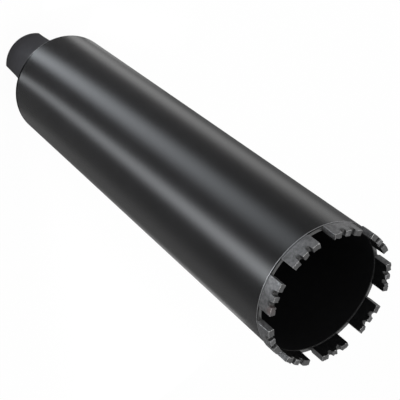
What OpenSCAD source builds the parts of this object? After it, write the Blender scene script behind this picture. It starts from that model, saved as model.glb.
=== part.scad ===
// Diamond core bit for wet drilling in concrete and masonry.
// A steel barrel closed at the back by a plate, a threaded hub behind the plate,
// and a crown of notched diamond segments welded round the open end.
// The bit stands on the hub's seating face at z = 0 with its crown upwards; Z is the axis.

/* [Crown] */
// outside diameter of the cut, across the segments
crown_d = 102; // [60:1:250]
// angle from the wrench flat on +X to the middle of the first segment
crown_turn = 3.8; // [0:0.1:40]
// length of one segment, measured round its middle
seg_len = 22.5; // [12:0.5:40]
// height of a segment above the barrel
seg_h = 13; // [7:0.5:20]
// thickness of the diamond layer, inwards from the cut diameter
seg_t = 4.4; // [3:0.1:7]
// how far the segments stand proud of the barrel outside
side_clear = 0.8; // [0.2:0.1:1.5]
// height of the plain welding foot under the diamond layer
foot_h = 1.6; // [0.8:0.1:4]
// notches across the cutting face of one segment
notch_count = 2; // [0:1:4]
// width of a notch at its rounded bottom
notch_w = 3.4; // [1.5:0.1:6]
// depth of a notch below the cutting face
notch_depth = 3; // [1:0.1:5]
// angle of one flank of a notch to the axis
notch_flare = 12; // [0:1:35]

/* [Barrel] */
// length of the barrel
barrel_len = 387; // [120:1:500]
// wall of the barrel
barrel_wall = 3.2; // [1.6:0.1:6]
// rounding of the barrel's back edge, where it is welded and ground off
back_round = 1.6; // [0.4:0.1:3]

/* [Back plate] */
// thickness of the plate that closes the barrel
plate_t = 10; // [5:0.5:20]
// depth of the step inside the barrel that seats the plate
seat_step = 0.8; // [0.4:0.1:1.5]
// gap round the plate inside the barrel, and round the hub's spigot
fit_gap = 0.1; // [0.05:0.05:0.3]
// leg of the weld that runs round the hub in the corner with the plate
weld_leg = 3.5; // [1:0.5:6]

/* [Hub] */
// outside diameter of the hub
hub_d = 58; // [50:0.5:80]
// length of the hub behind the plate
hub_len = 74; // [45:1:120]
// distance across the two wrench flats
flat_af = 46; // [42:0.5:56]
// straight part of a wrench flat, from the seating face to where it starts to run out
flat_len = 4; // [2:1:40]
// radius of the long curve in which a flat runs out to the round
runout_r = 190; // [20:5:320]
// major diameter of the spindle thread (1-1/4 inch); the hole is as wide as the thread's roots
thread_major = 31.75; // [26:0.05:38]
// turns of the thread in an inch
threads_per_inch = 7; // [5:1:16]
// depth of the threaded length
thread_depth = 42; // [20:1:68]
// how far the tapping drill goes on past the thread
drill_over = 5; // [2:0.5:8]
// angle of the drill's point
drill_point = 118; // [90:1:150]
// diameter of the waterway through to the barrel
water_d = 20; // [8:0.5:21]
// diameter of the spigot that enters the back plate
spigot_d = 36; // [28:0.5:50]

/* [Hidden] */
barrel_r = crown_d / 2 - side_clear;
barrel_in = barrel_r - barrel_wall;
seat_r = barrel_in + seat_step;
seg_in = crown_d / 2 - seg_t;
seg_mid = (crown_d / 2 + seg_in) / 2;
seg_angle = seg_len / seg_mid * 180 / PI;
seg_count = 9;
pitch = 360 / seg_count;
hub_r = hub_d / 2;
plate_z = hub_len;
barrel_z = hub_len;
crown_z = barrel_z + barrel_len;
tip_z = crown_z + seg_h;
edge = 0.4;
end_chamfer = 1.5;
sink = 1;
thread_pitch = 25.4 / threads_per_inch;
thread_minor = thread_major - 1.0825 * thread_pitch;
drill_end = thread_depth + drill_over;
drill_cone = (thread_minor - water_d) / 2 / tan(drill_point / 2);
flat_cut_depth = hub_r - flat_af / 2;
over = 1;
smooth = 180;

black = [0.16, 0.16, 0.17];
steel = [0.42, 0.42, 0.44];
bond = [0.35, 0.35, 0.36];

// Section of the barrel wall: seat for the plate, ground back edge, bevelled front end.
module barrel_section() {
    difference() {
        translate([barrel_in, barrel_z]) square([barrel_wall, barrel_len]);
        translate([barrel_in - over, barrel_z - over])
            square([seat_step + over, plate_t + over]);
        back_corner();
        front_bevels();
    }
}

// What is ground off the back edge, leaving a quarter round.
module back_corner() {
    translate([barrel_r - back_round, barrel_z])
    difference() {
        translate([0, -over]) square([back_round + over, back_round + over]);
        translate([0, back_round]) circle(r = back_round, $fn = smooth);
    }
}

// The small bevels on both edges of the open end.
module front_bevels() {
    for (side = [barrel_in, barrel_r])
        translate([side, crown_z]) rotate(45)
            square(edge * sqrt(2), center = true);
}

module barrel() {
    color(black) rotate_extrude($fn = smooth) barrel_section();
}

// Disc let into the barrel's back end against the step, bored for the hub's spigot,
// with the weld that joins it to the hub left as a bevel round the hub.
module back_plate() {
    color(black)
    rotate_extrude($fn = smooth)
    polygon([
        [spigot_d / 2 + fit_gap, plate_z],
        [hub_r, plate_z],
        [hub_r, plate_z - weld_leg],
        [hub_r + weld_leg, plate_z],
        [seat_r - fit_gap - edge, plate_z],
        [seat_r - fit_gap, plate_z + edge],
        [seat_r - fit_gap, plate_z + plate_t],
        [spigot_d / 2 + fit_gap, plate_z + plate_t]]);
}

// Turned hub, with its spigot, threaded hole, drill point and waterway.
module hub_turned() {
    rotate_extrude($fn = smooth)
    polygon([
        [thread_major / 2 + sink, 0],
        [hub_r - end_chamfer, 0],
        [hub_r, end_chamfer],
        [hub_r, plate_z],
        [spigot_d / 2, plate_z],
        [spigot_d / 2, plate_z + plate_t - edge],
        [spigot_d / 2 - edge, plate_z + plate_t],
        [water_d / 2, plate_z + plate_t],
        [water_d / 2, drill_end + drill_cone],
        [thread_minor / 2, drill_end],
        [thread_minor / 2, thread_depth + (thread_major - thread_minor) / 2],
        [thread_major / 2, thread_depth],
        [thread_major / 2, sink]]);
}

// One milled flat: straight at first, then run out to the round in a long curve;
// it never reaches into the weld at the plate.
module flat_cut() {
    translate([flat_af / 2, -hub_r - over, -over])
        cube([flat_cut_depth + over, hub_d + 2 * over, flat_len + over]);
    intersection() {
        translate([flat_af / 2 + runout_r, 0, flat_len])
            rotate([90, 0, 0])
            cylinder(h = hub_d + 2 * over, r = runout_r, center = true, $fn = 4 * smooth);
        translate([flat_af / 2, -hub_r - over, 0])
            cube([flat_cut_depth + over, hub_d + 2 * over, plate_z - weld_leg]);
    }
}

module hub() {
    color(steel)
    difference() {
        hub_turned();
        for (side = [0, 180]) rotate([0, 0, side]) flat_cut();
    }
}

// Section of a segment: a foot as thick as the barrel wall, then the wider diamond layer.
module segment_section() {
    polygon([
        [barrel_in + edge, crown_z],
        [barrel_r - edge, crown_z],
        [barrel_r, crown_z + edge],
        [barrel_r, crown_z + foot_h - side_clear],
        [crown_d / 2, crown_z + foot_h],
        [crown_d / 2, tip_z - edge],
        [crown_d / 2 - edge, tip_z],
        [seg_in + edge, tip_z],
        [seg_in, tip_z - edge],
        [seg_in, crown_z + foot_h],
        [barrel_in, crown_z + foot_h - (barrel_in - seg_in)],
        [barrel_in, crown_z + edge]]);
}

// A notch across the cutting face, round at the bottom with flaring flanks.
module notch() {
    bottom = tip_z - notch_depth + notch_w / 2;
    reach = 2 * seg_t;
    rise = notch_depth + over;
    open_half = notch_w / 2 + (tip_z - bottom + over) * tan(notch_flare);
    translate([seg_mid - reach / 2, 0, bottom])
    rotate([90, 0, 90])
    linear_extrude(height = reach) {
        circle(d = notch_w, $fn = smooth);
        polygon([
            [-notch_w / 2, 0], [notch_w / 2, 0],
            [open_half, tip_z - bottom + over],
            [-open_half, tip_z - bottom + over]]);
    }
}

module segment(index) {
    step = seg_angle / (notch_count + 1);
    color(bond)
    rotate([0, 0, crown_turn + (index - 1) * pitch])
    difference() {
        rotate([0, 0, -seg_angle / 2])
            rotate_extrude(angle = seg_angle, $fn = smooth) segment_section();
        for (k = [1 : 1 : notch_count])
            rotate([0, 0, -seg_angle / 2 + k * step]) notch();
    }
}

barrel();
back_plate();
hub();
segment(1);  // segment_1
segment(2);  // segment_2
segment(3);  // segment_3
segment(4);  // segment_4
segment(5);  // segment_5
segment(6);  // segment_6
segment(7);  // segment_7
segment(8);  // segment_8
segment(9);  // segment_9
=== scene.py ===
import math

import bmesh
import bpy
import numpy as np
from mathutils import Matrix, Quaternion, Vector


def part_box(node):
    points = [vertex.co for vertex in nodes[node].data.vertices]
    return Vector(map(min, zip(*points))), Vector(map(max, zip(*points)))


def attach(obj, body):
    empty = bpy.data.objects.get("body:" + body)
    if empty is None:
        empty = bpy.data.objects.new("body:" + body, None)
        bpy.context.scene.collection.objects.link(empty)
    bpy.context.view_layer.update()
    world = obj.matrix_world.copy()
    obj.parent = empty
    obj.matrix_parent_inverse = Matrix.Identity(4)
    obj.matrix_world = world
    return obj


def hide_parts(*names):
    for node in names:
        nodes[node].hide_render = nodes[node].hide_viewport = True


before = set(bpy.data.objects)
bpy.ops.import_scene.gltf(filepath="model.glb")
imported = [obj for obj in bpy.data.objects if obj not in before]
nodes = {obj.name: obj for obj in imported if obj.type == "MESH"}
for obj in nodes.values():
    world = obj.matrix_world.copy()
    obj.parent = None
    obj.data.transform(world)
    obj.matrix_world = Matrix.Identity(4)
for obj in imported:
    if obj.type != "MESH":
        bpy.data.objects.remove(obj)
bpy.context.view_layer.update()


# Barrel: a steel tube with a satin black coat, sprayed on and baked, and a matt black inside.
# The coat is ground off in a narrow band at the open end, where the segments were welded on,
# and on the rounded back edge, where the back plate was welded in. Between the ground band and the
# open end it is black. A dark line beside the back rim, on the -X half only, is painted shade.
class Wire:
    """An output of a shader node; arithmetic on it adds Math nodes to the same tree."""

    def __init__(self, tree, socket=None):
        self.tree = tree
        self.socket = socket

    def node(self, kind, settings=None, inputs=None, output=0):
        """Adds one node: its settings first, then its sockets' values or links."""
        made = self.tree.nodes.new(kind)
        for name, value in (settings or {}).items():
            setattr(made, name, value)
        for name, value in (inputs or {}).items():
            if isinstance(value, Wire):
                self.tree.links.new(value.socket, made.inputs[name])
            else:
                made.inputs[name].default_value = value
        return Wire(self.tree, made.outputs[output] if made.outputs else None)

    def maths(self, operation, *values):
        return self.node("ShaderNodeMath", {"operation": operation}, dict(enumerate(values)))

    def __add__(self, other):
        return self.maths("ADD", self, other)

    def __radd__(self, other):
        return self.maths("ADD", other, self)

    def __sub__(self, other):
        return self.maths("SUBTRACT", self, other)

    def __rsub__(self, other):
        return self.maths("SUBTRACT", other, self)

    def __mul__(self, other):
        return self.maths("MULTIPLY", self, other)

    def __rmul__(self, other):
        return self.maths("MULTIPLY", other, self)

    def most(self, other):
        """The larger of the two."""
        return self.maths("MAXIMUM", self, other)

    def step(self, low, high):
        """0 below low, 1 above high, and smooth between them."""
        return self.node("ShaderNodeMapRange", {"interpolation_type": "SMOOTHSTEP"},
                         {"Value": self, "From Min": low, "From Max": high})

    def blend(self, a, b):
        """The colour that goes from a to b as this goes from 0 to 1."""
        return self.node("ShaderNodeMix", {"data_type": "RGBA"}, {0: self, 6: a, 7: b}, 2)

    def noise(self, scale, detail):
        """Noise at this place, from 0 to 1; scale is its number of waves in a metre."""
        sockets = {"Vector": self, "Scale": scale, "Detail": detail}
        return self.node("ShaderNodeTexNoise", {}, sockets, "Fac")

    def parts(self):
        """The x, y and z of this place."""
        return [self.node("ShaderNodeSeparateXYZ", {}, {"Vector": self}, axis) for axis in "XYZ"]


def from_line(a, b):
    """The distance from a line, such as the axis, for a place's offsets a and b from it."""
    return a.maths("POWER", a * a + b * b, 0.5)


def start(name):
    """An empty material, and a wire to its tree."""
    made = bpy.data.materials.new(name)
    made.use_nodes = True
    made.node_tree.nodes.clear()
    return made, Wire(made.node_tree)


def close(wire, shader):
    """Links the last shader to the material's output."""
    wire.node("ShaderNodeOutputMaterial", {}, {"Surface": shader})


def finish(wire, relief, strength, depth, sockets):
    """Closes a material with one shader for its surface; relief is its bump, depth metres high."""
    bump = wire.node("ShaderNodeBump", {}, {"Height": relief, "Strength": strength, "Distance": depth})
    close(wire, wire.node("ShaderNodeBsdfPrincipled", {}, {**sockets, "Normal": bump}))


def wear(node, material, inner=None, inner_r=0.0):
    """Gives the faces of a CAD node a material.

    Faces whose middle is within inner_r of the axis get the inner material instead.
    """
    mesh = nodes[node].data
    mesh.materials.clear()
    mesh.materials.append(material)
    if inner:
        mesh.materials.append(inner)
    middles = np.empty(3 * len(mesh.polygons), dtype=np.float32)
    mesh.polygons.foreach_get("center", middles)
    within = np.hypot(middles[0::3], middles[1::3]) < inner_r
    mesh.polygons.foreach_set("material_index", within.astype(np.int32))


barrel_low, barrel_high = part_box("barrel")
crown_z = barrel_high.z
barrel_r = barrel_high.x
barrel_wall = 0.0032

# A mask fades in over a pair named from, and out over a pair named to. The outside's is a radius, the
# edge's and the painted shade line's are heights over the barrel's back, and that line's side is a place
# along X.
outside_from = (barrel_r - 0.0012, barrel_r - 0.0009)
bare_from = (crown_z - 0.0013, crown_z - 0.0010)
end_band_from = (crown_z - 0.0008, crown_z - 0.0005)
sawn_from = (crown_z - 0.00012, crown_z - 0.00002)
edge_to = (0.0014, 0.0017)
shade_line_from = (0.0010, 0.0014)
shade_line_to = (0.0036, 0.0042)
shade_line_side_to = (-0.014, 0.002)
ragged_front = 0.0006
ragged_back = 0.0003
paint_deep = (0.005, 0.005, 0.0054, 1)
paint_pale = (0.0085, 0.0085, 0.009, 1)
bare_steel = (0.33, 0.33, 0.335, 1)
end_band_and_shade_black = (0.003, 0.003, 0.003, 1)
sawn_dark = (0.035, 0.035, 0.035, 1)
sawn_pale = (0.11, 0.11, 0.11, 1)
bare_metallic = 0.7
satin_roughness = 0.23

coat, w = start("barrel_coat")
place = w.node("ShaderNodeTexCoord", output="Object")
x, y, height = place.parts()
ragged = place.noise(scale=900.0, detail=3.0)
peel = place.noise(scale=1400.0, detail=2.0)
cloud = place.noise(scale=45.0, detail=3.0)
outside = from_line(x, y).step(*outside_from)
front = height + ragged_front * (ragged - 0.5)
end_band = outside * front.step(*end_band_from)
bare = outside * front.step(*bare_from) * (1 - end_band)
sawn = height.step(*sawn_from)
back = height - barrel_low.z + ragged_back * (ragged - 0.5)
ground_edge = outside * (1 - back.step(*edge_to))
# Painted shade: a dark line beside the back rim, on the -X half only.
painted_shade_line = back.step(*shade_line_from) * (1 - back.step(*shade_line_to)) * (1 - x.step(*shade_line_side_to))
steel = bare.most(ground_edge)
# The black band behind the open end and the painted shade line both turn the coat black.
end_band_and_shade = end_band.most(painted_shade_line)
paint = cloud.blend(paint_deep, paint_pale)
edged = end_band_and_shade.blend(steel.blend(paint, bare_steel), end_band_and_shade_black)
finish(w, relief=peel, strength=0.12, depth=0.00001, sockets={
    "Base Color": sawn.blend(edged, ragged.blend(sawn_dark, sawn_pale)),
    "Metallic": (bare_metallic * steel).most(bare_metallic * sawn).most(end_band_and_shade),
    "Roughness": satin_roughness + 0.04 * cloud + 0.15 * steel + 0.5 * end_band_and_shade,
    "IOR": 1.5})

bore_dark = (0.001, 0.001, 0.0012, 1)
bore_pale = (0.003, 0.003, 0.0033, 1)
bore_margin = 0.0003

bore_coat, w = start("barrel_bore")
place = w.node("ShaderNodeTexCoord", output="Object")
dust = place.noise(scale=300.0, detail=4.0)
finish(w, relief=dust, strength=0.3, depth=0.00005, sockets={
    "Base Color": dust.blend(bore_dark, bore_pale),
    "Roughness": 0.5 + 0.15 * dust,
    "IOR": 1.25})
wear("barrel", coat, bore_coat, barrel_r - barrel_wall + bore_margin)


# Back plate: a steel disc let into the barrel's back end, welded to it and bored for the hub.
# It was sprayed together with the barrel.
wear("back_plate", coat)


# Weld round the hub: one run of arc weld in the corner between hub and back plate, sprayed over
# with the barrel. The CAD's bevel stands for it; the ripples left by the moving arc lie on it.
def skin(name, points, quads, material, marks=None):
    """A new piece on the one body, made from whole arrays, with its doubles merged.

    Each of the marks is a value for every point, kept under its name for the material.
    """
    mesh = bpy.data.meshes.new(name)
    mesh.vertices.add(len(points))
    mesh.vertices.foreach_set("co", points.astype(np.float32).ravel())
    mesh.loops.add(quads.size)
    mesh.loops.foreach_set("vertex_index", quads.astype(np.int32).ravel())
    mesh.polygons.add(len(quads))
    mesh.polygons.foreach_set("loop_start", np.arange(0, quads.size, 4, dtype=np.int32))
    mesh.polygons.foreach_set("use_smooth", np.ones(len(quads), dtype=bool))
    mesh.update(calc_edges=True)
    for mark, values in (marks or {}).items():
        kept = mesh.attributes.new(mark, "FLOAT", "POINT")
        kept.data.foreach_set("value", values.astype(np.float32))
    joined = bmesh.new()
    joined.from_mesh(mesh)
    bmesh.ops.remove_doubles(joined, verts=joined.verts, dist=1e-7)
    joined.to_mesh(mesh)
    joined.free()
    mesh.materials.append(material)
    made = bpy.data.objects.new(name, mesh)
    bpy.context.scene.collection.objects.link(made)
    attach(made, "root")
    return made


def grid(rows, columns, ring_rows, ring_columns):
    """Quads of a grid of points, row by row.

    Rows or columns close on themselves where their ring is true.
    """
    i = np.arange(rows if ring_rows else rows - 1)[:, None]
    j = np.arange(columns if ring_columns else columns - 1)[None, :]
    i_next = (i + 1) % rows
    j_next = (j + 1) % columns
    corners = (i * columns + j, i_next * columns + j, i_next * columns + j_next, i * columns + j_next)
    return np.stack(np.broadcast_arrays(*corners), axis=-1).reshape(-1, 4)


def round_axis(r, turn, z):
    """Points at radius r, angle turn and height z, as x, y, z rows."""
    r, turn, z = np.broadcast_arrays(r, turn, z)
    return np.stack([r * np.cos(turn), r * np.sin(turn), z], axis=-1).reshape(-1, 3)


def ring(count):
    """Angles once round, without the last, which is the first again."""
    return np.linspace(0, 2 * math.pi, count, endpoint=False)


plate_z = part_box("back_plate")[0].z
hub_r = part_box("hub")[1].y
weld_leg = 0.0035
weld_half = weld_leg * 0.74
weld_rise = 0.0007
ripple_count = 118
ripple_points = 6
ripple_high = 0.16
ripple_lag = 2.2
bead_points = 14


def bead_surface(turn, around):
    """A flat bead that runs round the hub, tilted by 45 degrees.

    Round the bead its half width follows a cosine and its rise a sine. The rise swells in a sine wave for
    each ripple, which lags towards the bead's edges, and in two slow waves, three and seven round the hub.
    """
    along = weld_half * np.cos(around)
    ripple = np.sin(ripple_count * turn + ripple_lag * np.cos(around) ** 2)
    sway = 0.08 * np.sin(3 * turn + 1) + 0.05 * np.sin(7 * turn)
    rise = weld_rise * np.sin(around) * (1 + ripple_high * ripple + sway)
    middle_r = hub_r + weld_leg / 2
    middle_z = plate_z - weld_leg / 2
    return round_axis(middle_r + (along + rise) / math.sqrt(2), turn,
                      middle_z + (along - rise) / math.sqrt(2))


turn = ring(ripple_count * ripple_points)[:, None]
around = ring(bead_points)[None, :]
bead_quads = grid(turn.size, around.size, True, True)[:, ::-1]
skin("hub_weld", bead_surface(turn, around), bead_quads, coat)


# Hub: one piece of turned steel, blacked, with two milled wrench flats that run out to the round.
# The threaded hole stays bright; its turns are cut at sixty degrees and run out at both ends.
inch = 0.0254
bore_r = 1.25 * inch / 2
thread_pitch = inch / 7
thread_crest_r = bore_r - 1.0825 * thread_pitch / 2
root_half = thread_pitch * 7 / 16
crest_half = thread_pitch / 8
thread_start = 0.0012
thread_stop = 0.0415
thread_sink = 0.00003
run_out_turns = 0.6
turn_points = 64
flank = np.array([0.0, 0.5, 1.0, 1.0, 0.5, 0.0, 0.0])
side = np.array([1.0, 1.0, 1.0, -1.0, -1.0, -1.0, 0.0])

# The masks' pairs again: flat_from is a distance from the axis along X, and the others are radii.
flat_from = (0.0226, 0.0229)
flat_to = (hub_r - 0.0003, hub_r - 0.0001)
bore_to = (bore_r + 0.0002, bore_r + 0.0006)
rim_from = (0.0272, 0.0278)
rim_high = 0.0012
mill_below = 0.03
oxide_dark = (0.018, 0.0175, 0.0203, 1)
oxide_pale = (0.034, 0.033, 0.038, 1)
worn_steel = (0.3, 0.3, 0.3, 1)
bore_steel = (0.34, 0.34, 0.35, 1)

hub_black, w = start("hub_black")
place = w.node("ShaderNodeTexCoord", output="Object")
x, y, z = place.parts()
radius = from_line(x, y)
grain = place.noise(scale=260.0, detail=5.0)
patch = place.noise(scale=55.0, detail=2.0)
turned = w.node("ShaderNodeCombineXYZ", {}, {"Z": z}).noise(scale=2600.0, detail=2.0)
mill_arc = from_line(z + mill_below, y)
milled = w.node("ShaderNodeCombineXYZ", {}, {"X": mill_arc}).noise(scale=1900.0, detail=2.0)
on_flat = x.maths("ABSOLUTE", x).step(*flat_from) * (1 - radius.step(*flat_to))
tool = turned * (1 - on_flat) + milled * on_flat
in_bore = 1 - radius.step(*bore_to)
end_rim = z.maths("LESS_THAN", z, rim_high) * radius.step(*rim_from)
rubbed = (0.5 * patch * end_rim).most(on_flat * (0.2 + 0.3 * patch))
oxide = patch.blend(oxide_dark, oxide_pale)
finish(w, relief=tool + 0.5 * grain, strength=0.35, depth=0.00004, sockets={
    "Base Color": in_bore.blend(rubbed.blend(oxide, worn_steel), bore_steel),
    "Metallic": (in_bore * 0.9).most(rubbed),
    "Roughness": 0.4 + 0.12 * grain + 0.04 * tool,
    "IOR": 1.45})
wear("hub", hub_black)

thread_dark = (0.28, 0.28, 0.29, 1)
thread_pale = (0.4, 0.4, 0.41, 1)

thread_steel, w = start("thread_steel")
place = w.node("ShaderNodeTexCoord", output="Object")
grain = place.noise(scale=900.0, detail=4.0)
finish(w, relief=grain, strength=0.3, depth=0.00003, sockets={
    "Base Color": grain.blend(thread_dark, thread_pale),
    "Metallic": 0.95,
    "Roughness": 0.3 + 0.2 * grain})


def thread_surface(turn):
    """A ridge of trapezoid section that climbs the bore by one pitch a turn.

    Its section is the points of flank, 0 at the root and 1 at the crest, and side, 1 above its middle and
    -1 below it. Half its width goes evenly from root_half to crest_half with flank. The root lies a little
    way into the bore's wall. Height and width grow from nothing at both ends of the thread.
    """
    run_out = np.clip(np.minimum(turn, turn[::-1]) / (2 * math.pi * run_out_turns), 0, 1) ** 0.7
    half_wide = root_half + (crest_half - root_half) * flank
    root_r = bore_r + thread_sink
    return round_axis(root_r - (root_r - thread_crest_r) * flank * run_out, turn,
                      thread_start + thread_pitch * turn / (2 * math.pi) + side * half_wide * run_out)


turns = (thread_stop - thread_start) / thread_pitch
turn = np.linspace(0, 2 * math.pi * turns, int(turns * turn_points))[:, None]
thread_quads = grid(turn.size, flank.size, False, True)
skin("hub_thread", thread_surface(turn), thread_quads, thread_steel)


# Segments: nine blocks of sintered metal powder with diamond grit, pressed to the curve of the crown.
# Each has two notches across its cutting face, and stands wider than the barrel above its welding foot.
cut_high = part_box("segment_1")[1]
cut_r = cut_high.x
segment_high = cut_high.z - crown_z
segment_count = 9
segment_pitch = 2 * math.pi / segment_count
first_turn = math.radians(3.8)
segment_long = 0.0225
segment_thick = 0.0044
segment_r = cut_r - segment_thick / 2
segment_sink = 0.00005
foot_high = 0.0016
step_high = foot_high / 2
notch_wide = 0.0034
notch_deep = 0.003
notch_slope = math.tan(math.radians(12))
notch_shift = 0.0003
notch_wide_spread = (0.88, 1.08)
notch_deep_spread = (0.9, 1.08)
deep_full = 0.001
edge_round = 0.00022
lattice_cells = (130, 40, 12)
lattice_closer = np.array([0.35, 0.8, 0.8])
chip_count = 22
chip_wide = (0.0003, 0.0009)
chip_deep = (0.1, 0.5)
land_drop = np.array([0.0, 0.00022, 0.0])
land_spread = 0.0002
face_wear = 0.0001
face_wave = 0.004
side_lumps = 0.00006
side_lump_wave = 0.0055
side_pits = 0.00003
side_pit_wave = 0.0014
side_inset = 0.00009


def block(cells):
    """Points of a block's surface on a lattice from -1 to 1, and its quads, which face outwards."""
    index = np.indices([count + 1 for count in cells])
    last = np.array(cells).reshape(3, 1, 1, 1)
    outer = ((index == 0) | (index == last)).any(axis=0)
    number = np.full(outer.shape, -1)
    number[outer] = np.arange(outer.sum())
    quads = []
    for axis in range(3):
        for end in (0, -1):
            sheet = np.take(number, end, axis=axis)
            quad = np.stack([sheet[:-1, :-1], sheet[1:, :-1], sheet[1:, 1:], sheet[:-1, 1:]], axis=-1)
            quad = quad.reshape(-1, 4)
            quads.append(quad if (end == -1) == (axis != 1) else quad[:, ::-1])
    return index[:, outer].T / np.array(cells) * 2 - 1, np.concatenate(quads)


def swell(points, size, seed):
    """Smooth unevenness, mostly within 1 of 0.

    The mean of twelve sine waves, each as long as size, in seeded directions and places, times gain.
    """
    wave_count = 12
    gain = 1.8
    dice = np.random.default_rng(seed)
    waves = dice.normal(size=(3, wave_count))
    waves *= 2 * math.pi / size / np.linalg.norm(waves, axis=0)
    return gain * np.sin(points @ waves + dice.uniform(0, 2 * math.pi, wave_count)).mean(axis=1)


def chipped(points, half, dice):
    """The points with chips: bells pushed in and down round seeded places on the cutting face's edges."""
    places = np.stack([dice.uniform(-1, 1, chip_count) * half[0], np.full(chip_count, half[1]),
                       dice.choice([-1, 1], chip_count) * half[2]], axis=1)
    size = dice.uniform(*chip_wide, chip_count)
    deep = dice.uniform(*chip_deep, chip_count) * size
    inwards = np.stack([np.zeros(chip_count), np.full(chip_count, -1.0), -np.sign(places[:, 2])], axis=1)
    near = np.exp(-(np.linalg.norm(points[:, None] - places[None], axis=2) / size) ** 2)
    return points + (near * deep) @ inwards


def notch_cut(along, middle, wide, deep):
    """Depth of a notch below the cutting face.

    It has a round bottom of that width, and flanks that slope outwards above it.
    """
    away = np.abs(along - middle)
    straight = deep - wide / 2
    bowl = straight + np.sqrt(np.maximum(wide ** 2 / 4 - away ** 2, 0))
    return np.where(away < wide / 2, bowl, np.maximum(straight - (away - wide / 2) / notch_slope, 0))


def segment_surface(lattice, number):
    """A rounded block, chipped, notched and worn, and bent round the axis.

    The lattice is spread to the block's size, closer towards its edges, and its edges are rounded by
    moving each point to edge_round from the block shrunk by edge_round. Notches and wear lower the points
    in proportion to their height over the foot. Radius comes from the thickness at each height, angle
    from the length. Of the marks, rim is 1 on the rounded edges, and deep is 1 in the notches.
    """
    dice = np.random.default_rng(100 + number)
    half = np.array([segment_long, segment_high, segment_thick]) / 2
    boxed = half * (lattice + lattice_closer * np.sin(math.pi * lattice) / math.pi)
    core = np.clip(boxed, edge_round - half, half - edge_round)
    off = boxed - core
    points = core + edge_round * off / np.linalg.norm(off, axis=1, keepdims=True)
    rim = np.sort(np.abs(off), axis=1)[:, 1] / edge_round
    points = chipped(points, half, dice)

    along, high, across = points.T
    high = high + half[1]
    share = np.clip((high - foot_high) / (segment_high - foot_high), 0, 1)
    cut = np.zeros_like(along)
    for middle in (-segment_long / 6, segment_long / 6):
        cut = cut + notch_cut(along, middle + dice.uniform(-notch_shift, notch_shift),
                              notch_wide * dice.uniform(*notch_wide_spread),
                              notch_deep * dice.uniform(*notch_deep_spread))
    land = np.clip(((along / segment_long + 0.5) * 3).astype(int), 0, 2)
    worn = (land_drop + dice.uniform(0, land_spread, 3))[land]
    worn = worn + face_wear * (1 + swell(points, face_wave, number))
    high = high - (cut + worn) * share

    flush = np.clip((high - step_high) / (foot_high - step_high), 0, 1)
    outer_r = barrel_r + (cut_r - barrel_r) * flush
    inner_r = (barrel_r - barrel_wall) * (1 - flush) + (cut_r - segment_thick) * flush
    radius = (outer_r + inner_r) / 2 + across * (outer_r - inner_r) / segment_thick
    lumps = side_lumps * swell(points, side_lump_wave, 20 + number)
    pits = side_pits * swell(points, side_pit_wave, 40 + number)
    radius = radius + (lumps + pits - side_inset) * share * np.sign(across)
    turn = first_turn + (number - 1) * segment_pitch + along / segment_r
    marks = {"rim": rim * (high > step_high), "deep": np.clip(cut / deep_full, 0, 1) * share}
    return round_axis(radius, turn, crown_z - segment_sink + high), marks


# The masks' pairs again, for the cutting face, the segment's inner side and the copper tint.
face_from = (cut_high.z - 0.0007, cut_high.z - 0.0004)
inside_to = (cut_r - segment_thick + 0.0001, cut_r - segment_thick + 0.0004)
copper_to = (0.001, 0.0045)
copper_r = 0.0495
copper_turn = math.radians(133.5)
copper_z = 0.4725
copper_at = (copper_r * math.cos(copper_turn), copper_r * math.sin(copper_turn), copper_z)
bond_dark = (0.085, 0.085, 0.087, 1)
bond_pale = (0.15, 0.15, 0.154, 1)
notch_shade_black = (0.012, 0.012, 0.012, 1)
copper_red = (0.24, 0.16, 0.15, 1)
diamond = (0.26, 0.26, 0.24, 1)
dull_face = (0.035, 0.035, 0.035, 1)
rubbed_edge_highlight = (0.42, 0.42, 0.42, 1)
inside_black = (0.002, 0.002, 0.0022, 1)

bond, w = start("segment_bond")
place = w.node("ShaderNodeTexCoord", output="Object")
x, y, height = place.parts()
rim = w.node("ShaderNodeAttribute", {"attribute_name": "rim"}, output="Fac")
deep = w.node("ShaderNodeAttribute", {"attribute_name": "deep"}, output="Fac").step(0.6, 1.0)
fine = place.noise(scale=1500.0, detail=6.0)
cloudy = place.noise(scale=420.0, detail=5.0).step(0.3, 0.7)
grit = w.node("ShaderNodeTexVoronoi", {}, {"Vector": place, "Scale": 1500.0}, "Distance")
crystal = 1 - grit.step(0.16, 0.3)
rubbed = (rim + 0.7 * (fine - 0.5)).step(0.35, 0.75) * (1 - deep)
copper_away = w.node("ShaderNodeVectorMath", {"operation": "DISTANCE"}, {0: place, 1: copper_at}, "Value")
copper = 1 - copper_away.step(*copper_to)
dull = height.step(*face_from) * (1 - rim.step(0.3, 0.6))
inside = 1 - (from_line(x, y) + 0.0002 * (fine - 0.5)).step(*inside_to)
# Painted shade: the notches are darkened nearly to black, as shade in the recesses.
bonded = (0.85 * deep).blend(cloudy.blend(bond_dark, bond_pale), notch_shade_black)
bonded = (0.4 * copper).blend(bonded, copper_red)
bonded = (0.4 * crystal).blend(bonded, diamond)
bonded = (0.75 * dull).blend(bonded, dull_face)
# The rounded edges are lighter and more metallic: partly wear, partly a painted highlight.
bonded = (0.8 * rubbed).blend(bonded, rubbed_edge_highlight)
finish(w, relief=fine + 0.4 * crystal, strength=0.6, depth=0.0002, sockets={
    "Base Color": inside.blend(bonded, inside_black),
    "Metallic": (0.6 + 0.25 * rubbed) * (1 - inside),
    "Roughness": 0.26 + 0.22 * fine - 0.06 * rubbed,
    "IOR": 1.4})

lattice, lattice_quads = block(lattice_cells)
for number in range(1, segment_count + 1):
    points, marks = segment_surface(lattice, number)
    made = skin(f"crown_segment_{number}", points, lattice_quads, bond, marks)
    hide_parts(f"segment_{number}")


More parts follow.
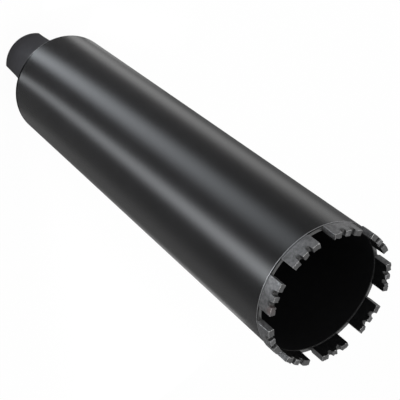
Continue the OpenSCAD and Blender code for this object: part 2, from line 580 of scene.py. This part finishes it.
# Segment welds: a narrow seam of melted steel along the foot of each segment, on the outside only.
# It is made by laser, with fine ripples, and then ground nearly flush.
seam_dark = (0.05, 0.05, 0.052, 1)
seam_pale = (0.13, 0.13, 0.133, 1)

seam_steel, w = start("seam_steel")
place = w.node("ShaderNodeTexCoord", output="Object")
fine = place.noise(scale=1800.0, detail=4.0)
finish(w, relief=fine, strength=0.5, depth=0.00008, sockets={
    "Base Color": fine.blend(seam_dark, seam_pale),
    "Metallic": 0.85,
    "Roughness": 0.35 + 0.2 * fine})

seam_half = 0.0006
seam_deep = 0.0005
seam_rise = 0.00012
seam_step = 0.0005
seam_short = 0.0003
seam_points = 170
seam_ring_points = 10


def seam_surface(middle, turn, around):
    """A thin bead on an arc round the barrel, most of it below the surface.

    Round the bead its half width follows a sine and its depth a cosine. The depth has a sine wave for each
    ripple along the arc, which lags towards the bead's edges. Both shrink to nothing at the arc's ends.
    """
    taper = np.sqrt(np.clip(1 - (turn / turn[-1]) ** 8, 0, 1))
    ripple = 1 + 0.12 * np.sin(2 * math.pi * turn * barrel_r / seam_step + 1.5 * np.sin(around) ** 2)
    out = seam_deep * (np.cos(around) * ripple - 1) + seam_rise
    return round_axis(barrel_r + out * taper, middle + turn, crown_z + seam_half * np.sin(around) * taper)


reach = (segment_long / 2 - seam_short) / segment_r
turn = np.linspace(-reach, reach, seam_points)[:, None]
around = ring(seam_ring_points)[None, :]
seam_quads = grid(turn.size, around.size, False, True)
for number in range(1, segment_count + 1):
    seam = seam_surface(first_turn + (number - 1) * segment_pitch, turn, around)
    skin(f"segment_weld_{number}", seam, seam_quads, seam_steel)


# Studio: a plain pale floor and a pale world, one wide soft lamp above, and soft lights that lie on the
# floor. A dark card on the floor, which only mirrored rays see, keeps the black coat black between them.
def seen(wire):
    """1 for rays from the camera and for mirrored and refracted rays, and 0 for the others."""
    camera, glossy, refracted = (wire.node("ShaderNodeLightPath", output=name)
                                 for name in ("Is Camera Ray", "Is Glossy Ray", "Is Transmission Ray"))
    return camera.most(glossy).most(refracted)


def staged(name, points, faces, material):
    """A mesh that belongs to the studio and not to the object."""
    mesh = bpy.data.meshes.new(name)
    mesh.from_pydata(points, [], faces)
    mesh.materials.append(material)
    made = bpy.data.objects.new(name, mesh)
    bpy.context.scene.collection.objects.link(made)
    return made


def square(name, half, z, material):
    """A square of that half width, lying at height z with its middle on the axis."""
    corners = [(-half, -half, z), (half, -half, z), (half, half, z), (-half, half, z)]
    return staged(name, corners, [(0, 1, 2, 3)], material)


floor_half = 6.0
floor_glow = 0.96
floor_pale = (0.9, 0.9, 0.9, 1)
white = (1, 1, 1, 1)

pale, w = start("floor_pale")
ground = w.node("ShaderNodeBsdfPrincipled", {}, {"Base Color": floor_pale, "Roughness": 0.8})
glow = w.node("ShaderNodeEmission", {}, {"Color": white, "Strength": 1.0})
close(w, w.node("ShaderNodeMixShader", {}, {0: floor_glow * seen(w), 1: ground, 2: glow}))
square("floor", floor_half, 0, pale)

card_grey = (0.185, 0.185, 0.185, 1)
card_inner = 0.9
card_outer = 1.6
card_z = 0.001

dark, w = start("card_dark")
place = w.node("ShaderNodeTexCoord", output="Object")
far_off = w.node("ShaderNodeVectorMath", {"operation": "LENGTH"}, {0: place}, "Value")
close(w, w.node("ShaderNodeMixShader", {}, {
    0: far_off.step(card_inner, card_outer),
    1: w.node("ShaderNodeEmission", {}, {"Color": card_grey}),
    2: w.node("ShaderNodeBsdfTransparent")}))
card = square("card", card_outer, card_z, dark)
card.visible_camera = False
card.visible_diffuse = False
card.visible_shadow = False

ambient = 0.5
world = bpy.data.worlds.new("studio")
bpy.context.scene.world = world
world.use_nodes = True
world.node_tree.nodes.clear()
w = Wire(world.node_tree)
sky = w.node("ShaderNodeBackground", {}, {"Color": white, "Strength": seen(w) * (1 - ambient) + ambient})
w.node("ShaderNodeOutputWorld", {}, {"Surface": sky})

light_z = 0.002
light_rows = 32
light_columns = 33


def floor_light(name, foot_turn, heading, half_wide, reach, power, cool=0.0):
    """A soft light lying on the floor: a sector that starts at the foot of the barrel's wall at foot_turn.

    It goes out towards heading, half_wide degrees to each side, and from the first to the second reach.
    Its brightness falls to its sides as a squared cosine, and goes evenly from the first to the second
    power. A cool light is bluer by that share, and less red.
    """
    foot, course, half_turn = (math.radians(value) for value in (foot_turn, heading, half_wide))
    share = np.linspace(0, 1, light_rows)[:, None]
    swing = np.linspace(-1, 1, light_columns)[None, :]
    away = reach[0] + (reach[1] - reach[0]) * share
    points = np.stack([barrel_r * math.cos(foot) + away * np.cos(course + half_turn * swing),
                       barrel_r * math.sin(foot) + away * np.sin(course + half_turn * swing),
                       np.full((light_rows, light_columns), light_z)], axis=-1)
    bright = np.cos(math.pi / 2 * swing) ** 2 * (power[0] + (power[1] - power[0]) * share)

    shine, w = start(name)
    glow = w.node("ShaderNodeAttribute", {"attribute_name": "glow"}, output="Fac")
    tone = w.node("ShaderNodeCombineXYZ", {}, {"X": glow * (1 - cool), "Y": glow, "Z": glow * (1 + cool)})
    close(w, w.node("ShaderNodeAddShader", {}, {
        0: w.node("ShaderNodeBsdfTransparent"),
        1: w.node("ShaderNodeEmission", {}, {"Color": tone})}))

    quads = grid(light_rows, light_columns, False, False)
    made = staged(name, points.reshape(-1, 3).tolist(), quads.tolist(), shine)
    kept = made.data.attributes.new("glow", "FLOAT", "POINT")
    kept.data.foreach_set("value", bright.astype(np.float32).ravel())
    made.visible_camera = False
    made.visible_shadow = False


floor_light("light_right", foot_turn=45.6, heading=-14.9, half_wide=29,
            reach=(0.01, 0.9), power=(1.0, 0.92))
floor_light("light_front", foot_turn=107, heading=65.2, half_wide=29,
            reach=(0.011, 0.65), power=(3.4, 1.2), cool=0.06)
floor_light("light_left", foot_turn=133.2, heading=127.3, half_wide=20.4,
            reach=(0.01, 0.86), power=(1.6, 7.6), cool=0.04)
floor_light("light_far", foot_turn=191.3, heading=-160.7, half_wide=34,
            reach=(0.01, 0.8), power=(0.09, 0.19))
floor_light("light_near_edge", foot_turn=41.9, heading=-53.7, half_wide=17,
            reach=(0.06, 0.185), power=(0.6, 0.1))
floor_light("light_far_edge", foot_turn=208, heading=-109.2, half_wide=19,
            reach=(0.01, 0.5), power=(0, 0.8))

above_wide = 1.4
above_watts = 25
above_at = Vector((0.2, 0.5, 1.9))
above_aim = Vector((0, 0, 0.3))

above = bpy.data.lights.new("light_above", "AREA")
above.shape = "RECTANGLE"
above.size = above_wide
above.size_y = above_wide
above.energy = above_watts
made = bpy.data.objects.new("light_above", above)
made.location = above_at
made.rotation_mode = "QUATERNION"
made.rotation_quaternion = (above_aim - above_at).to_track_quat("-Z", "Y")
made.visible_camera = False
bpy.context.scene.collection.objects.link(made)


# Camera: looks down on the crown from the photograph's viewing angle.
# It is rolled, so that the bit lies slanted across the frame with its crown at the lower right.
view_azimuth = math.radians(186.74)
view_elevation = math.radians(46.32)
view_roll = math.radians(128.92)
view_distance = 0.7425
aim = Vector((-0.0031, -0.0039, 0.3143))
lens = 86.4

camera_data = bpy.data.cameras.new("camera")
camera_data.lens = lens
camera_data.clip_start = 0.01
camera_data.clip_end = 100
camera = bpy.data.objects.new("camera", camera_data)
bpy.context.scene.collection.objects.link(camera)
back = Vector((math.sin(view_azimuth) * math.cos(view_elevation),
               -math.cos(view_azimuth) * math.cos(view_elevation),
               math.sin(view_elevation)))
camera.location = aim + view_distance * back
camera.rotation_mode = "QUATERNION"
camera.rotation_quaternion = (-back).to_track_quat("-Z", "Y") @ Quaternion((0, 0, 1), view_roll)
bpy.context.scene.camera = camera
bpy.context.scene.view_settings.view_transform = "Standard"
